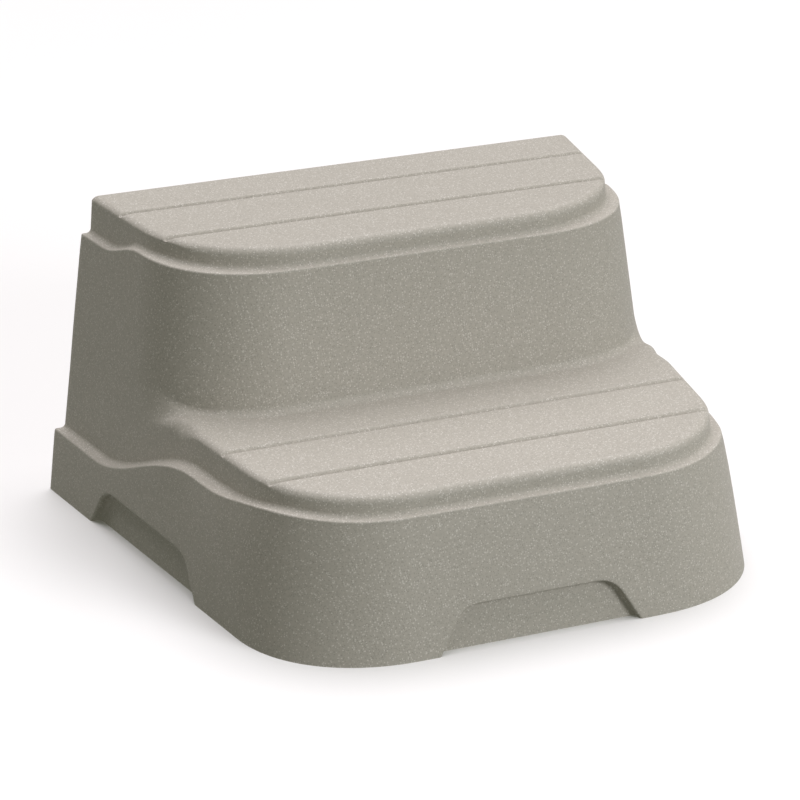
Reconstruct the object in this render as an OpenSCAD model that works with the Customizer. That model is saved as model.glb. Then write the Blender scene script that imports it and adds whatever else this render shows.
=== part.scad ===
// Two-tread moulded spa steps.
// A thin moulded shell, open underneath, drops over a board frame that carries the load:
// three stringers, four cross rails and a stiffening board under each tread.
// Every module is drawn from the middle of the straight rear wall's foot, and at_rest() then moves
// the origin to the floor below the middle of the steps. +Z up, the steps climb towards +Y.

/* [Overall size] */
// Height of the upper tread above the floor
height = 380; // [360:5:400]
// Width of the shell along the floor at the rear
rear_width = 788; // [760:2:820]
// Depth of the shell along the floor
depth = 632; // [620:2:650]
// How much each side closes in per millimetre towards the front
side_taper = 0.144; // [0.12:0.004:0.16]
// Thickness of the moulded wall
wall = 7; // [5:0.5:8]

/* [Treads] */
// Height of the lower tread above the floor
lower_tread_z = 187; // [185:1:192]
// Depth from the rear wall to the riser's foot
riser_depth = 310; // [300:2:320]
// Radius that rounds the treads' outer edges
tread_round = 9.6; // [8:0.2:11]
// Radius of the fillet between the riser and the lower tread
riser_fillet = 8; // [6:0.5:12]
// Width of each anti-slip groove
groove_w = 8; // [5:0.5:9]
// Depth of each anti-slip groove
groove_depth = 3.5; // [2:0.5:4]

/* [Ledges] */
// Height of the lower ledge at the rear
lower_ledge_rear = 81; // [70:1:90]
// Height of the lower ledge along the front
lower_ledge_front = 163; // [158:1:166]
// Height of the upper ledge at the rear
upper_ledge_rear = 334; // [325:1:340]
// Height of the upper ledge along the front
upper_ledge_front = 355; // [350:1:358]
// Radius of the cove where a ledge meets the wall above it
cove = 6.5; // [5:0.5:8]
// Radius of a ledge's outer edge
ledge_edge = 3; // [2:0.5:4]

/* [Floor recesses] */
// Height of the arched recesses
recess_h = 52; // [45:1:60]
// Depth of the recesses into the wall
recess_in = 13; // [10:1:16]
// Half length of the front recess along the floor
front_recess_half = 125; // [110:1:140]
// Half length of the side recesses along the floor
side_recess_half = 136; // [120:1:145]

/* [Frame] */
// Thickness of the stringers and rails
board_t = 18; // [15:1:20]
// Thickness of the two tread boards
tread_board_t = 15; // [12:1:16]
// Distance between neighbouring stringers
stringer_gap = 210; // [190:5:220]
// Depth of the frame from its rear edge to its front edge
frame_depth = 520; // [500:5:525]
// Height of the rubber shoes
shoe_h = 22; // [16:1:30]

/* [Part to show] */
// Sub-part to draw, or all of them

/* [Hidden] */
$fn = 48;
eps = 0.01;
fit_gap = 0.1;
shell_colour = [0.71, 0.69, 0.64];
board_colour = [0.24, 0.25, 0.26];
rubber_colour = [0.10, 0.10, 0.11];
steel_colour = [0.72, 0.73, 0.74];
brass_colour = [0.78, 0.64, 0.32];

// ---- Plan outlines of the shell ----
// An outline is [half width at the rear, depth, corner length along the front,
// corner length along the side, side taper].
front_bow = 5;
corner_power = 2.28;
side_draft = 0.131;
front_draft = 0.155;
corner_draft = 0.08;
cap_draft = 0.085;
half_width = rear_width / 2;
skirt_foot = [half_width, depth, 156, 139, side_taper];
skirt_top = [half_width - 19, depth - 34, 155, 205, side_taper - 0.022];
lower_wall_top = [half_width - 35, depth - 44.5, 140, 140, side_taper + 0.004];
upper_wall_top = [half_width - 58, riser_depth - 25, 128, 128, side_taper];
cap_wall = [half_width - 70, riser_depth - 34.5, 148, 146, side_taper];

function lerp(a, b, t) = a + (b - a) * t;
function ease(t) = let (c = min(max(t, 0), 1)) c * c * (3 - 2 * c);
function grow(o, side, front, corner) = [o[0] + side, o[1] + front, o[2] + corner, o[3] + corner, o[4]];
function shrink(o, e) = grow(o, -e, -e, -e);

// Outlines at a given height
function skirt_at(z) = lerp(skirt_foot, skirt_top, z / lower_ledge_front);
function lower_wall_at(z) = let (h = lower_tread_z - tread_round - z)
    grow(lower_wall_top, side_draft * h, side_draft * h, corner_draft * h);
function upper_wall_at(z) = let (h = upper_ledge_front - z)
    grow(upper_wall_top, side_draft * h, front_draft * h, corner_draft * h);
function cap_at(z) = let (h = (height - tread_round - z) * cap_draft) grow(cap_wall, h, h, h);

// A point of the right half of an outline. t runs 0 to 1 along the side, 1 to 2 round the corner
// and 2 to 3 along the front to the middle. The side starts at y = -start.
function raw_point(o, t, start) = let (
        meet = [o[0] - o[4] * o[1], -o[1]],
        side_end = meet + o[3] * [o[4], 1],
        side_start = [o[0] - o[4] * start, -start],
        turn = (t - 1) * 90
    )
    t <= 1 ? lerp(side_start, side_end, t)
    : t <= 2 ? meet + o[2] * (1 - pow(cos(turn), 2 / corner_power)) * [-1, 0]
        + o[3] * (1 - pow(sin(turn), 2 / corner_power)) * [o[4], 1]
    : lerp(meet - [o[2], 0], [0, -o[1]], t - 2);
function outline_point(o, t, start) = let (p = raw_point(o, t, start))
    [p[0], p[1] + front_bow * pow(p[0] / o[0], 2) * pow(p[1] / o[1], 4)];

// Outward direction of an outline at t
function outward(o, t, start) = let (
        step = 0.01,
        d = outline_point(o, min(t + step, 3), start) - outline_point(o, max(t - step, 0), start)
    )
    [-d[1], d[0]] / norm(d);

// ---- Columns of the shell's surface, from the rear to the middle of the front ----
// Each is [t on the upper outlines, t on the lower outlines].
upper_side = upper_wall_top[1] - upper_wall_top[3];
lower_side = lower_wall_top[1] - lower_wall_top[3];
fan_turn = 55;
function same_depth(turn) = (upper_side + upper_wall_top[3] * pow(sin(turn), 2 / corner_power)) / lower_side;
columns = [
    for (i = [0 : 4]) [i / 5, i / 5 * upper_side / lower_side],
    for (i = [0 : 4]) let (turn = i / 5 * fan_turn) [1 + turn / 90, same_depth(turn)],
    for (i = [0 : 3]) [lerp(1 + fan_turn / 90, 2, i / 4), lerp(same_depth(fan_turn), 1, i / 4)],
    for (i = [0 : 6]) [2 + 0.25 * i / 7, 1 + i / 7],
    for (i = [0 : 3]) [2.25 + 0.75 * i / 3, 2 + i / 3]
];

// The ledges climb in an S along the sides
function lower_ledge_z(y) = let (last = lower_ledge_front - 14)
    lerp(lower_ledge_rear, last, ease((-y - 115) / 235)) + 14 * ease((-y - 390) / 150);
function upper_ledge_z(y) = lerp(upper_ledge_rear, upper_ledge_front, ease((-y - 60) / 90));

// ---- Rows of the shell's surface, from the floor to the top ----
// A point from an outline, moved out by some distance
function placed(o, t, start, out, z) = let (
        p = outline_point(o, t, start) + outward(o, t, start) * out
    )
    [p[0], t == 0 ? -start : p[1], z];

// Ledge: rounded outer edge, then the cove up to the wall. e is the inset of the inner surface.
edge_turns = [0, 45, 90];
cove_turns = [0, 30, 60, 90];
round_turns = [0, 22.5, 45, 67.5, 90];
function ledge_rows(outer_o, wall_o, t, z, e) = [
    for (a = edge_turns)
        placed(outer_o, t, e, -ledge_edge * (1 - cos(a)), z - ledge_edge * (1 - sin(a))),
    for (a = cove_turns)
        placed(wall_o, t, e, (cove + e) * (1 - sin(a)), z + (cove + e) * (1 - cos(a)))
];

// Step from the lower tread's wall to the riser. Along the rear of the sides the two are one wall,
// so the rows close up there into a straight line.
fillet_turns = [0, 30, 60, 90];
function tread_rows(tu, tl, e) = let (
        r = max(tread_round - e, 2),
        f = riser_fillet + e,
        z = lower_tread_z - e,
        low_o = shrink(lower_wall_at(z - r), e),
        high_o = shrink(upper_wall_at(z + f), e),
        low = placed(low_o, tl, e, 0, z - r),
        high = placed(high_o, tu, e, 0, z + f),
        run = norm([low[0] - high[0], low[1] - high[1]]),
        open = ease((run - 5) / 45),
        size = min(1, run / (2.5 * (r + f))),
        stepped = [
            for (a = round_turns)
                placed(low_o, tl, e, -r * size * (1 - cos(a)), z - r * size * (1 - sin(a))),
            for (a = fillet_turns)
                placed(high_o, tu, e, f * size * (1 - sin(a)), z + f * size * (1 - cos(a)))
        ],
        last = len(stepped) - 1
    )
    [for (i = [0 : last]) lerp(lerp(low, high, i / last), stepped[i], open)];

function column_rows(tu, tl, e) = let (
        y_low = outline_point(skirt_top, tl, 0)[1],
        y_high = outline_point(upper_wall_top, tu, 0)[1],
        z_low = lower_ledge_z(y_low) - e,
        z_high = upper_ledge_z(y_high) - e,
        r = max(tread_round - e, 2),
        top_o = shrink(cap_at(height - e - r), e)
    )
    [
        placed(shrink(skirt_foot, e), tl, e, 0, 0),
        each ledge_rows(shrink(skirt_at(z_low), e), shrink(lower_wall_at(z_low + cove), e), tl, z_low, e),
        each tread_rows(tu, tl, e),
        each ledge_rows(shrink(upper_wall_at(z_high), e), shrink(cap_at(z_high + cove), e), tu, z_high, e),
        for (a = round_turns) placed(top_o, tu, e, -r * (1 - cos(a)), height - e - r * (1 - sin(a)))
    ];

// ---- The shell as one closed surface: outside, inside and the rim at the floor ----
module shell_body() {
    half = len(columns);
    count = 2 * half - 1;
    rows = len(column_rows(0, 0, 0));
    function half_column(c, e) = column_rows(columns[c][0], columns[c][1], e);
    function column_points(c, e) = c < half
        ? [for (p = half_column(c, e)) [p[0], p[1], p[2]]]
        : [for (p = half_column(count - 1 - c, e)) [-p[0], p[1], p[2]]];
    points = [for (e = [0, wall]) for (c = [0 : count - 1]) each column_points(c, e)];
    function outer(c, r) = c * rows + r;
    function inner(c, r) = count * rows + c * rows + r;
    function skin(f, flip) = [
        for (c = [0 : count - 2]) for (r = [0 : rows - 2])
            let (a = f(c, r), b = f(c, r + 1), d = f(c + 1, r + 1), g = f(c + 1, r))
            each flip ? [[a, b, d], [a, d, g]] : [[a, d, b], [a, g, d]]
    ];
    function loop(f) = [for (c = [0 : count - 1]) f(c, rows - 1)];
    function rear(f) = [
        for (r = [0 : rows - 1]) f(count - 1, r),
        for (r = [rows - 1 : -1 : 0]) f(0, r)
    ];
    function reverse(v) = [for (i = [len(v) - 1 : -1 : 0]) v[i]];
    rim = [
        for (c = [0 : count - 2]) each [
            [outer(c, 0), inner(c + 1, 0), outer(c + 1, 0)],
            [outer(c, 0), inner(c, 0), inner(c + 1, 0)]
        ],
        [outer(0, 0), outer(count - 1, 0), inner(count - 1, 0), inner(0, 0)]
    ];
    polyhedron(points, concat(
        skin(function (c, r) outer(c, r), false),
        skin(function (c, r) inner(c, r), true),
        [loop(function (c, r) outer(c, r)), reverse(loop(function (c, r) inner(c, r)))],
        [reverse(rear(function (c, r) outer(c, r))), rear(function (c, r) inner(c, r))],
        rim
    ));
}

// ---- Floor recesses in the skirt ----
recess_lean = 31;
recess_corner = 35;
front_lean = atan((skirt_foot[1] - skirt_top[1]) / lower_ledge_front);
side_lean = 4.7;
side_turn = atan(side_taper);
side_recess_y = -255;

// Arch with sloping ends and rounded top corners, run on below the floor line
module arch(half, h, corner) {
    slope = atan(h / recess_lean);
    centre = half - recess_lean * (h - corner) / h - corner / sin(slope);
    run_on = 12;
    right = [
        [half + recess_lean * run_on / h, -run_on],
        for (i = [0 : 6]) let (a = 90 - slope + slope * i / 6)
            [centre + corner * cos(a), h - corner + corner * sin(a)]
    ];
    polygon(concat(right, [for (i = [len(right) - 1 : -1 : 0]) [-right[i][0], right[i][1]]]));
}

// The space that a recess takes (grown = 0), or that space with the moulded wall round it
module recess_space(half, grown) {
    outside = grown > 0 ? 1 - wall : 20;
    translate([0, 0, -recess_in - grown])
        linear_extrude(recess_in + grown + outside)
        arch(half + grown, recess_h + grown, recess_corner + grown);
}

module recesses(grown) {
    translate([0, -depth, 0]) rotate([90 - front_lean, 0, 0]) recess_space(front_recess_half, grown);
    for (side = [-1, 1])
        translate([side * (half_width + side_taper * side_recess_y), side_recess_y, 0])
        rotate([0, 0, side * (90 - side_turn)])
        rotate([90 - side_lean, 0, 0]) recess_space(side_recess_half, grown);
}

// ---- Grooves across the treads: [distance from the rear wall, tread height] ----
groove_r = (groove_w * groove_w / 4 + groove_depth * groove_depth) / (2 * groove_depth);
grooves = [
    [78, height], [riser_depth - 127, height],
    [depth - 237, lower_tread_z], [depth - 138, lower_tread_z]
];
module groove_cuts() {
    for (g = grooves)
        translate([-half_width, -g[0], g[1] + groove_r - groove_depth])
        rotate([0, 90, 0]) cylinder(h = rear_width, r = groove_r);
}

// ---- Bosses under the treads: [x, y, height of the tread] ----
boss_x = stringer_gap / 2;
boss_r = 11;
bolt_r = 3;
insert_r = 4.5;
insert_h = 12;
washer_r = 17;
washer_t = 2;
bolt_head_r = 5.8;
bolt_head_h = 4;
boss_places = [
    for (x = [-boss_x, boss_x]) each [
        [x, -60, height], [x, -215, height],
        [x, -345, lower_tread_z], [x, -450, lower_tread_z]
    ]
];
module at_bosses() {
    for (b = boss_places) translate([b[0], b[1], b[2] - wall - tread_board_t]) children();
}

module step_shell() {
    color(shell_colour)
    difference() {
        union() {
            shell_body();
            difference() {
                recesses(wall);
                translate([-rear_width, -2 * depth, -100]) cube([2 * rear_width, 3 * depth, 100]);
            }
            at_bosses() cylinder(h = tread_board_t + 1, r = boss_r);
        }
        recesses(0);
        groove_cuts();
        at_bosses() translate([0, 0, -1]) cylinder(h = insert_h + 2, r = insert_r + fit_gap);
    }
}

// ---- Frame sizes ----
frame_rear = -30;
frame_front = frame_rear - frame_depth;
upper_front = -258;
foot_l = 100;
foot_z = 5;
arch_z = 75;
corner_cut = 22;
board_inset = 17;
rail_h = 70;
rail_half = 262;
riser_rail_half = 225;
front_rail_half = 232;
upper_board_z = height - wall - tread_board_t;
lower_board_z = lower_tread_z - wall - tread_board_t;
stringer_x = [-stringer_gap, 0, stringer_gap];

// Rails: [rear face y, foot z, half length, side of the stringer edge that it sits in]
rear_upper = [frame_rear, 268, rail_half, 1];
rear_lower = [frame_rear, 84, rail_half, 1];
riser_side = [upper_front + board_t, 262, riser_rail_half, -1];
front_side = [frame_front + board_t, 84, front_rail_half, -1];
rails = [rear_upper, rear_lower, riser_side, front_side];

// ---- Wood-type screws: flat head at the origin, shank along -Z ----
screw_r = 2.2;
screw_head_r = 4.4;
screw_head_h = 3.2;
module screw(length, gap = 0) {
    translate([0, 0, -screw_head_h]) cylinder(h = screw_head_h, r1 = screw_r + gap, r2 = screw_head_r + gap);
    translate([0, 0, -length]) cylinder(h = length, r = screw_r + gap);
}
board_screw_l = 48;
rail_screw_l = 45;
upper_screw_y = [-95, -150, -202];
lower_screw_y = [-300, -395, -490];
module upper_screws(gap = 0) {
    for (x = stringer_x, y = upper_screw_y)
        translate([x, y, height - wall]) screw(board_screw_l, gap);
}
module lower_screws(gap = 0) {
    for (x = stringer_x, y = lower_screw_y)
        translate([x, y, lower_tread_z - wall]) screw(board_screw_l, gap);
}
module rail_screw_set(gap = 0) {
    for (r = rails, x = stringer_x, z = [0.22 * rail_h, 0.78 * rail_h])
        translate([x, r[3] > 0 ? r[0] : r[0] - board_t, r[1] + z])
        rotate([-90 * r[3], 0, 0]) screw(rail_screw_l, gap);
}

// ---- Frame pieces ----
// Board outline cut from an outline of the shell, starting at y = -start
module board_outline(o, start) {
    right = [for (t = [0, 1, each [for (i = [1 : 9]) 1 + i / 10], 2, 3]) raw_point(o, t, start)];
    polygon(concat(right, [for (i = [len(right) - 1 : -1 : 0]) [-right[i][0], right[i][1]]]));
}
module tread_board(o, start, z) {
    color(board_colour)
    difference() {
        translate([0, 0, z]) linear_extrude(tread_board_t) board_outline(shrink(o, board_inset), start);
        at_bosses() translate([0, 0, -1]) cylinder(h = tread_board_t + 2, r = boss_r + 1);
        upper_screws(fit_gap);
        lower_screws(fit_gap);
    }
}
module upper_tread_board() { tread_board(cap_wall, 20, upper_board_z); }
module lower_tread_board() { tread_board(lower_wall_top, 4 - upper_front, lower_board_z); }

module stringer(x) {
    side_view = [
        [frame_rear, foot_z], [frame_rear, upper_board_z],
        [upper_front + corner_cut, upper_board_z], [upper_front, upper_board_z - corner_cut],
        [upper_front, lower_board_z], [frame_front, lower_board_z], [frame_front, foot_z],
        [frame_front + foot_l, foot_z], [frame_front + foot_l, shoe_h + 2],
        [frame_front + foot_l + 20, arch_z], [frame_rear - foot_l - 20, arch_z],
        [frame_rear - foot_l, shoe_h + 2], [frame_rear - foot_l, foot_z]
    ];
    color(board_colour)
    difference() {
        translate([x - board_t / 2, 0, 0]) rotate([90, 0, 90]) linear_extrude(board_t) polygon(side_view);
        for (r = rails)
            translate([x - board_t, r[0] - board_t - (r[3] > 0 ? 0 : 1), r[1]])
            cube([2 * board_t, board_t + 1, rail_h]);
        upper_screws(fit_gap);
        lower_screws(fit_gap);
        rail_screw_set(fit_gap);
    }
}
module left_stringer() { stringer(stringer_x[0]); }
module centre_stringer() { stringer(stringer_x[1]); }
module right_stringer() { stringer(stringer_x[2]); }

module rail(r) {
    color(board_colour)
    difference() {
        translate([-r[2], r[0] - board_t, r[1]]) cube([2 * r[2], board_t, rail_h]);
        rail_screw_set(fit_gap);
    }
}
module rear_upper_rail() { rail(rear_upper); }
module rear_lower_rail() { rail(rear_lower); }
module riser_rail() { rail(riser_side); }
module front_rail() { rail(front_side); }

// ---- Rubber shoes, one under each stringer foot ----
shoe_wall = 6;
module shoe(x, foot_front) {
    color(rubber_colour)
    difference() {
        translate([x - board_t / 2 - shoe_wall, foot_front - shoe_wall, 0])
            cube([board_t + 2 * shoe_wall, foot_l + 2 * shoe_wall, shoe_h]);
        translate([x - board_t / 2 - fit_gap, foot_front - fit_gap, foot_z])
            cube([board_t + 2 * fit_gap, foot_l + 2 * fit_gap, shoe_h]);
        // two tread slots across the sole
        for (y = [foot_l / 3, 2 * foot_l / 3])
            translate([x - board_t, foot_front + y - 2, -1]) cube([2 * board_t, 4, 3]);
    }
}
rear_foot = frame_rear - foot_l;
module left_rear_shoe() { shoe(stringer_x[0], rear_foot); }
module centre_rear_shoe() { shoe(stringer_x[1], rear_foot); }
module right_rear_shoe() { shoe(stringer_x[2], rear_foot); }
module left_front_shoe() { shoe(stringer_x[0], frame_front); }
module centre_front_shoe() { shoe(stringer_x[1], frame_front); }
module right_front_shoe() { shoe(stringer_x[2], frame_front); }

// ---- Fasteners ----
module upper_board_screws() { color(steel_colour) upper_screws(); }
module lower_board_screws() { color(steel_colour) lower_screws(); }
module rail_screws() { color(steel_colour) rail_screw_set(); }
module boss_inserts() {
    color(brass_colour)
    at_bosses() difference() {
        cylinder(h = insert_h, r = insert_r);
        translate([0, 0, -1]) cylinder(h = insert_h + 2, r = bolt_r + fit_gap);
    }
}
module boss_washers() {
    color(steel_colour)
    at_bosses() translate([0, 0, -washer_t]) difference() {
        cylinder(h = washer_t, r = washer_r);
        translate([0, 0, -1]) cylinder(h = washer_t + 2, r = bolt_r + 3 * fit_gap);
    }
}
module boss_bolts() {
    color(steel_colour)
    at_bosses() translate([0, 0, -washer_t]) {
        cylinder(h = washer_t + insert_h - 1, r = bolt_r);
        translate([0, 0, -bolt_head_h]) cylinder(h = bolt_head_h, r = bolt_head_r, $fn = 6);
    }
}

// The origin is on the floor below the middle of the steps
module at_rest() { translate([0, depth / 2, 0]) children(); }

at_rest() step_shell();
at_rest() upper_tread_board();
at_rest() lower_tread_board();
at_rest() left_stringer();
at_rest() centre_stringer();
at_rest() right_stringer();
at_rest() rear_upper_rail();
at_rest() rear_lower_rail();
at_rest() riser_rail();
at_rest() front_rail();
at_rest() left_rear_shoe();
at_rest() centre_rear_shoe();
at_rest() right_rear_shoe();
at_rest() left_front_shoe();
at_rest() centre_front_shoe();
at_rest() right_front_shoe();
at_rest() upper_board_screws();
at_rest() lower_board_screws();
at_rest() rail_screws();
at_rest() boss_inserts();
at_rest() boss_washers();
at_rest() boss_bolts();
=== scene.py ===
import bpy
import bmesh
import numpy as np
from mathutils import Matrix, Vector
from mathutils.geometry import tessellate_polygon


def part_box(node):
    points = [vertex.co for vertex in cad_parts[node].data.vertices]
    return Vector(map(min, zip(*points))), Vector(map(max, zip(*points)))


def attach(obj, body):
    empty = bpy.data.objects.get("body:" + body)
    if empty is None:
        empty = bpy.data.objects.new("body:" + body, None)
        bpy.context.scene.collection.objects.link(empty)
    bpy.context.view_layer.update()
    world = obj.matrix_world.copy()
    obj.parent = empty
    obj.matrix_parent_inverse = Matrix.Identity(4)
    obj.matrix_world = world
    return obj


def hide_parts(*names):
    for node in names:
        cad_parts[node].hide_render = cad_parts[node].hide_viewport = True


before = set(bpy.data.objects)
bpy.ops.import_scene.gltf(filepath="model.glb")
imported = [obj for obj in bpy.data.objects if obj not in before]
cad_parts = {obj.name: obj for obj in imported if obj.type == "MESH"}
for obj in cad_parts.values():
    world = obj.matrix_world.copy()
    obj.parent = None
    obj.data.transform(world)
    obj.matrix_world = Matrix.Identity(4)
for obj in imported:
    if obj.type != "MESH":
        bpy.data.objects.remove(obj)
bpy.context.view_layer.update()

# ---- Moulded shell ----
# One hollow rotation-moulded body of warm grey polyethylene with stone-like flecks: treads, riser, drafted
# walls with two ledges, grip grooves, floor recesses and bosses under the treads. It comes out of the
# mould whole, is trimmed along the floor line and drops over the frame inside.
shell_low, shell_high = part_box("step_shell")
upper_board_low, upper_board_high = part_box("upper_tread_board")
HALF_WIDTH = (shell_high.x - shell_low.x) / 2
HEIGHT = shell_high.z
REAR_Y = shell_high.y
WALL = HEIGHT - upper_board_high.z
FRONT_BOW = 0.005
FRONT_RECESS_HALF = 0.125
DEPTH = shell_high.y - shell_low.y + FRONT_BOW * (FRONT_RECESS_HALF / HALF_WIDTH) ** 2
LOWER_TREAD = 0.187
RISER_DEPTH = 0.310
SIDE_TAPER = 0.144
CORNER_POWER = 2.28
WALL_DRAFT = 0.131
RISER_DRAFT = 0.155
CORNER_DRAFT = 0.08
CAP_DRAFT = 0.085
TREAD_ROUND = 0.0115
REAR_EXTRA_ROUND = 0.014
SMALLEST_ROUND = 0.002
SIDE_BEVEL = np.radians(36)
SKIRT_WAIST = 0.008
RISER_FILLET = 0.010
SIDE_EXTRA_FILLET = 0.016
LEDGE_EDGE = 0.0026
COVE = 0.0060
EDGE_SUPPORT = 0.93
REAR_ROUND = 0.0025
LOWER_LEDGE_REAR = 0.081
LOWER_LEDGE_FRONT = 0.163
LEDGE_LAST_CLIMB = 0.014
UPPER_LEDGE_REAR = 0.334
UPPER_LEDGE_FRONT = 0.355
RECESS_HEIGHT = 0.052
RECESS_LEAN = 0.031
RECESS_CORNER = 0.035
RECESS_DEPTH = 0.013
RECESS_EDGE = 0.003
RECESS_FILLET = 0.003
RECESS_MARGIN = 0.006
SIDE_RECESS_HALF = 0.136
SIDE_RECESS_Y = -0.255
GROOVE_DEPTH = 0.0050
GROOVE_FLOOR = 0.0010
GROOVE_SLOPE = 0.0052
GROOVE_REACH = 0.0060
GROOVE_SPACING = 0.0012
GROOVE_MARGIN = 0.007
UPPER_GROOVES = (-0.078, 0.127 - RISER_DEPTH)
LOWER_GROOVES = (0.237 - DEPTH, 0.138 - DEPTH)

# Plan outlines, drawn from the rear wall at y = 0:
# [half width at the rear, depth, corner length along the front, corner length along the side, taper]
SKIRT_FOOT = np.array([HALF_WIDTH, DEPTH, 0.156, 0.139, SIDE_TAPER])
SKIRT_TOP = np.array([HALF_WIDTH - 0.019, DEPTH - 0.034, 0.155, 0.205, SIDE_TAPER - 0.022])
LOWER_WALL = np.array([HALF_WIDTH - 0.035, DEPTH - 0.0445, 0.140, 0.140, SIDE_TAPER + 0.004])
UPPER_WALL = np.array([HALF_WIDTH - 0.058, RISER_DEPTH - 0.025, 0.128, 0.128, SIDE_TAPER])
CAP_WALL = np.array([HALF_WIDTH - 0.070, RISER_DEPTH - 0.0345, 0.148, 0.146, SIDE_TAPER])
LOWER_EVEN = 0.404
UPPER_EVEN = 0.110


def ease(f):
    f = np.clip(f, 0, 1)
    return f * f * (3 - 2 * f)


def grown(outline, side, front, corner):
    """The outline moved out, for arrays of distances."""
    side, front, corner = np.broadcast_arrays(side, front, corner)
    step = np.stack([side, front, corner, corner, np.zeros_like(side)], axis=-1)
    return outline + step


def shrunk(outline, e):
    """The outline moved in by e all round, corners too."""
    return grown(outline, -e, -e, -e)


def skirt_at(z):
    """The skirt's outline at a height, as the other walls have below."""
    z = np.asarray(z, float)[..., None]
    return SKIRT_FOOT + (SKIRT_TOP - SKIRT_FOOT) * z / LOWER_LEDGE_FRONT


def lower_wall_at(z):
    drop = LOWER_TREAD - TREAD_ROUND - np.asarray(z, float)
    return grown(LOWER_WALL, WALL_DRAFT * drop, WALL_DRAFT * drop, CORNER_DRAFT * drop)


def upper_wall_at(z):
    drop = UPPER_LEDGE_FRONT - np.asarray(z, float)
    return grown(UPPER_WALL, WALL_DRAFT * drop, RISER_DRAFT * drop, CORNER_DRAFT * drop)


def cap_at(z):
    drop = CAP_DRAFT * (HEIGHT - TREAD_ROUND - np.asarray(z, float))
    return grown(CAP_WALL, drop, drop, drop)


def lower_ledge_z(y):
    climb = LOWER_LEDGE_FRONT - LEDGE_LAST_CLIMB - LOWER_LEDGE_REAR
    low = LOWER_LEDGE_REAR + climb * ease((-y - 0.115) / 0.235)
    return low + LEDGE_LAST_CLIMB * ease((-y - 0.390) / 0.150)


def upper_ledge_z(y):
    return UPPER_LEDGE_REAR + (UPPER_LEDGE_FRONT - UPPER_LEDGE_REAR) * ease((-y - 0.060) / 0.090)


def waist(y, z):
    """How far the skirt is drawn in beside the front of the lower tread, most at the ledge."""
    along = ease((-y - 0.28) / 0.10) * (1 - ease((-y - 0.45) / 0.09))
    return SKIRT_WAIST * along * (z / LOWER_LEDGE_FRONT) ** 3


def outline_xy(o, turn):
    """Points of the right half. turn is 0 to 1 along the side, 1 to 2 round the corner, and 2 to 3 along
    the front to the middle."""
    side_end = o[..., 1] - o[..., 3]
    angle = np.clip(turn - 1, 0, 1) * np.pi / 2
    along = np.where(turn < 1, 0, np.sin(angle) ** (2 / CORNER_POWER))
    across = np.clip(np.cos(angle), 0, 1) ** (2 / CORNER_POWER)
    y = -np.where(turn < 1, turn * side_end, side_end + o[..., 3] * along)
    x = o[..., 0] + o[..., 4] * y - o[..., 2] * (1 - across)
    x = np.where(turn > 2, (3 - turn) * (o[..., 0] - o[..., 4] * o[..., 1] - o[..., 2]), x)
    bow = FRONT_BOW * (x / o[..., 0]) ** 2 * (y / o[..., 1]) ** 4
    return x, y + bow


def turn_of(o, column, even):
    """A column is -y while it is on the even stretch of the side, then 1 to 2 round the rest of the
    corner and 2 to 3 along the front. The result is the outline's own turn."""
    side_end = o[..., 1] - o[..., 3]

    def at_depth(d):
        ratio = np.clip((d - side_end) / o[..., 3], 0, 1)
        return np.where(d <= side_end, d / side_end, 1 + np.arcsin(ratio ** (CORNER_POWER / 2)) * 2 / np.pi)

    start = at_depth(even)
    return np.where(
        column < 1, at_depth(np.minimum(column, even)),
        np.where(column <= 2, start + (2 - start) * (column - 1), column)
    )


def placed(o, column, even, out, z):
    """Points on an outline, moved out along its normal. Along the sides they keep their y."""
    turn = turn_of(o, column, even)
    step = 1e-4
    x, y = outline_xy(o, turn)
    xa, ya = outline_xy(o, np.maximum(turn - step, 0))
    xb, yb = outline_xy(o, np.minimum(turn + step, 3))
    length = np.hypot(xb - xa, yb - ya)
    tx, ty = (xb - xa) / length, (yb - ya) / length
    slip = o[..., 4] * ease(3 - 2 * np.maximum(turn - 0.5, 1))
    x = x + out * (-ty - slip * tx)
    y = y + out * (tx - slip * ty)
    return np.stack(np.broadcast_arrays(x, y, z), axis=-1)


def spread(*runs):
    """Sorted positions from (start, stop, spacing) runs, with near doubles dropped."""
    values = np.concatenate([np.linspace(a, b, max(2, round(abs(b - a) / s) + 1)) for a, b, s in runs])
    values = np.unique(np.round(values, 7))
    keep = [values[0]]
    for v in values[1:-1]:
        if v - keep[-1] > 0.00045:
            keep.append(v)
    if values[-1] - keep[-1] < 0.00045:
        keep.pop()
    return np.array(keep + [values[-1]])


def round_groove(y):
    """A run of columns close enough together to round a groove at y."""
    return (-y - GROOVE_REACH, -y + GROOVE_REACH, GROOVE_SPACING)


def column_at(depths, o, even, out, z):
    """Corner columns (1 to 2) whose placed points have the given -y."""
    tries = np.linspace(1, 2, 4001)
    ys = -placed(np.broadcast_to(o, (tries.size, 5)), tries, even, out, np.full(tries.size, z))[:, 1]
    return np.interp(depths, ys, tries)


# Columns of the surface run from the rear, along the side and round the corner, to the middle of the front.
recess_near = -SIDE_RECESS_Y - SIDE_RECESS_HALF - RECESS_MARGIN
recess_far = -SIDE_RECESS_Y + SIDE_RECESS_HALF + RECESS_MARGIN
recess_arc = 0.060

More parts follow.
